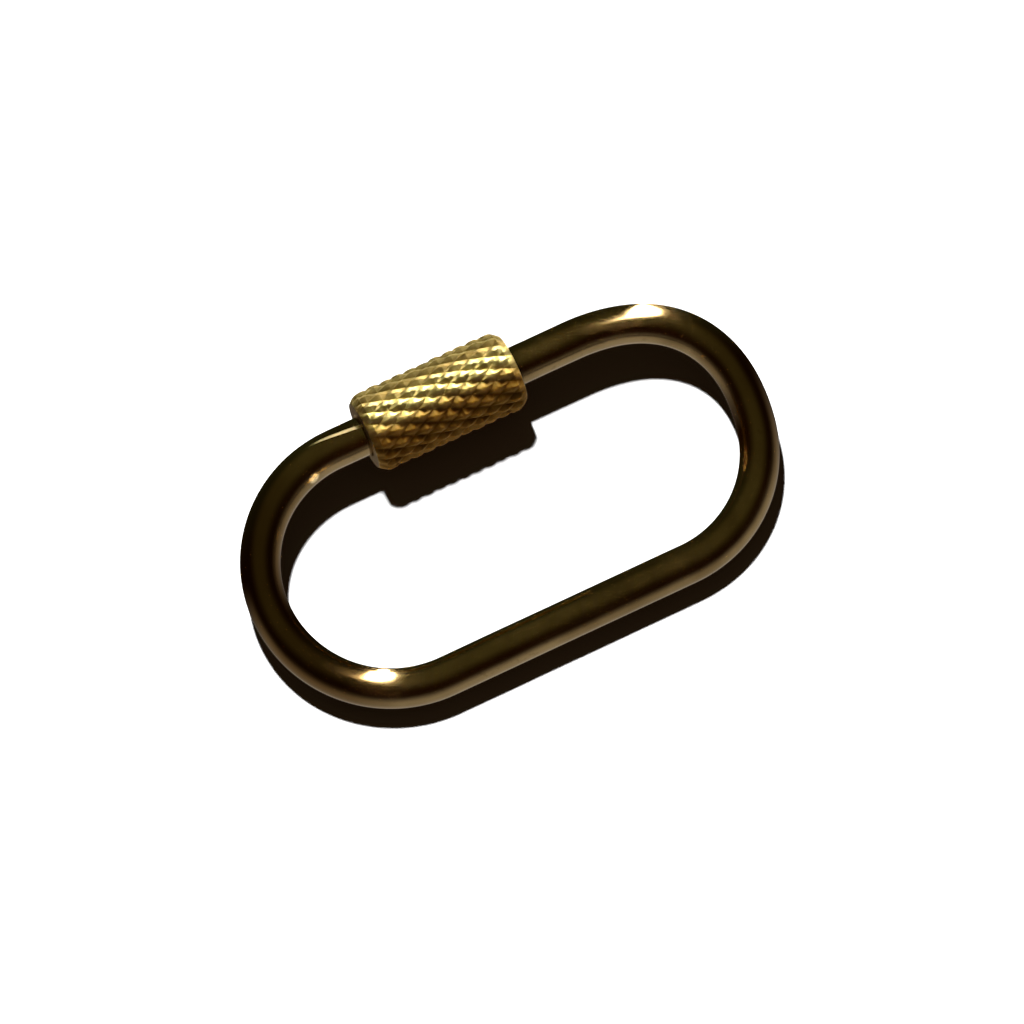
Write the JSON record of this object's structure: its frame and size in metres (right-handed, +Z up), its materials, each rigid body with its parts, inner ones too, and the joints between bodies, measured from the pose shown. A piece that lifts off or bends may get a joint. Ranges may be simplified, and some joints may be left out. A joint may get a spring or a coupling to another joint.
{
  "type": "oval carabiner",
  "caption": "Oval wire link with a knurled screw sleeve that closes its mouth; holds and joins rings, eyelets, chains or cords.",
  "frame": {"origin": "middle of the bounding box, on the surface that the closed link lies on", "axes": "+X along the long straight sides, +Y towards the side with the screw sleeve, +Z up"},
  "size_m": [0.035, 0.0198, 0.0052],
  "materials": {
    "polished_brass": "drawn brass wire, polished, with fine rub marks",
    "knurled_brass": "turned brass with a bright diamond knurl and chamfered ends"
  },
  "bodies": {
    "link": {"link_body": "polished_brass"},
    "sleeve": {"screw_sleeve": "knurled_brass"}
  },
  "joints": [
    {"name": "sleeve_travel", "type": "slide", "parent": "link", "child": "sleeve", "axis": [1, 0, 0], "range_m": [0, 0.0041]}
  ]
}
